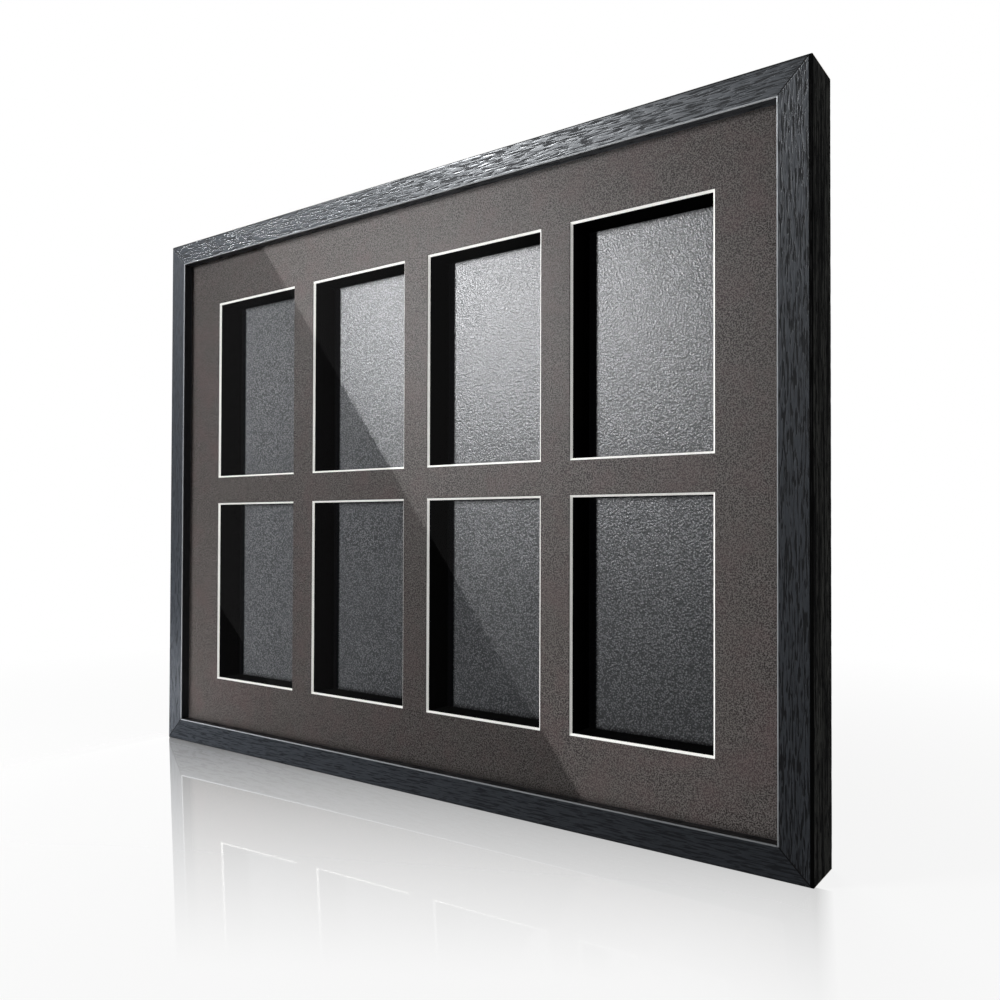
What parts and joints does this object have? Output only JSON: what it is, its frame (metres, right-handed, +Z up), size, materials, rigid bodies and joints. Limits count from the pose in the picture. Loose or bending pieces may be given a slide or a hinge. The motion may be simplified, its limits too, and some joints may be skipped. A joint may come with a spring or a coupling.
{
  "type": "trading card frame",
  "caption": "Landscape shadow-box frame with a windowed mat over deep slots for graded trading cards, clear glazing, and a board held by turn buttons.",
  "frame": {"origin": "under the middle of the frame's width and full depth, on the surface that it stands on", "axes": "+X along the bottom rail to the right as seen from the front, +Y from the glazing back to the hangers, +Z up"},
  "size_m": [0.521, 0.0356, 0.405],
  "materials": {
    "rail_film": "satin",
    "acrylic": "gloss",
    "mat_paper": "matte",
    "mat_core_paper": "matte",
    "spacer_foam": "matte",
    "liner_paper": "matte",
    "board_fibre": "matte",
    "button_steel": "satin",
    "screw_steel": "satin",
    "hanger_steel": "satin",
    "nail_steel": "satin"
  },
  "bodies": {
    "frame": {"rail_top": "rail_film", "rail_bottom": "rail_film", "rail_left": "rail_film", "rail_right": "rail_film", "glazing": "acrylic", "mat_face": "mat_paper", "mat_core": "mat_core_paper", "card_spacer": "spacer_foam", "backing_liner": "liner_paper", "backing_board": "board_fibre", "turn_button_screws": "screw_steel", "hanger_left": "hanger_steel", "hanger_right": "hanger_steel", "hanger_nails": "nail_steel", "mitre_nails": "nail_steel"},
    "turn_button_top_left": {"turn_button_top_left": "button_steel"},
    "turn_button_top_centre": {"turn_button_top_centre": "button_steel"},
    "turn_button_top_right": {"turn_button_top_right": "button_steel"},
    "turn_button_bottom_left": {"turn_button_bottom_left": "button_steel"},
    "turn_button_bottom_centre": {"turn_button_bottom_centre": "button_steel"},
    "turn_button_bottom_right": {"turn_button_bottom_right": "button_steel"},
    "turn_button_left": {"turn_button_left": "button_steel"},
    "turn_button_right": {"turn_button_right": "button_steel"}
  },
  "joints": [
    {"name": "turn_button_top_left_turn", "type": "hinge", "parent": "frame", "child": "turn_button_top_left", "pos_m": [-0.2005, 0.01495, 0.3993], "axis": [0, 1, 0], "continuous": true},
    {"name": "turn_button_top_centre_turn", "type": "hinge", "parent": "frame", "child": "turn_button_top_centre", "pos_m": [0, 0.01495, 0.3993], "axis": [0, 1, 0], "continuous": true},
    {"name": "turn_button_top_right_turn", "type": "hinge", "parent": "frame", "child": "turn_button_top_right", "pos_m": [0.2005, 0.01495, 0.3993], "axis": [0, 1, 0], "continuous": true},
    {"name": "turn_button_bottom_left_turn", "type": "hinge", "parent": "frame", "child": "turn_button_bottom_left", "pos_m": [-0.2005, 0.01495, 0.0057], "axis": [0, 1, 0], "continuous": true},
    {"name": "turn_button_bottom_centre_turn", "type": "hinge", "parent": "frame", "child": "turn_button_bottom_centre", "pos_m": [0, 0.01495, 0.0057], "axis": [0, 1, 0], "continuous": true},
    {"name": "turn_button_bottom_right_turn", "type": "hinge", "parent": "frame", "child": "turn_button_bottom_right", "pos_m": [0.2005, 0.01495, 0.0057], "axis": [0, 1, 0], "continuous": true},
    {"name": "turn_button_left_turn", "type": "hinge", "parent": "frame", "child": "turn_button_left", "pos_m": [-0.2548, 0.01495, 0.2025], "axis": [0, 1, 0], "continuous": true},
    {"name": "turn_button_right_turn", "type": "hinge", "parent": "frame", "child": "turn_button_right", "pos_m": [0.2548, 0.01495, 0.2025], "axis": [0, 1, 0], "continuous": true}
  ]
}
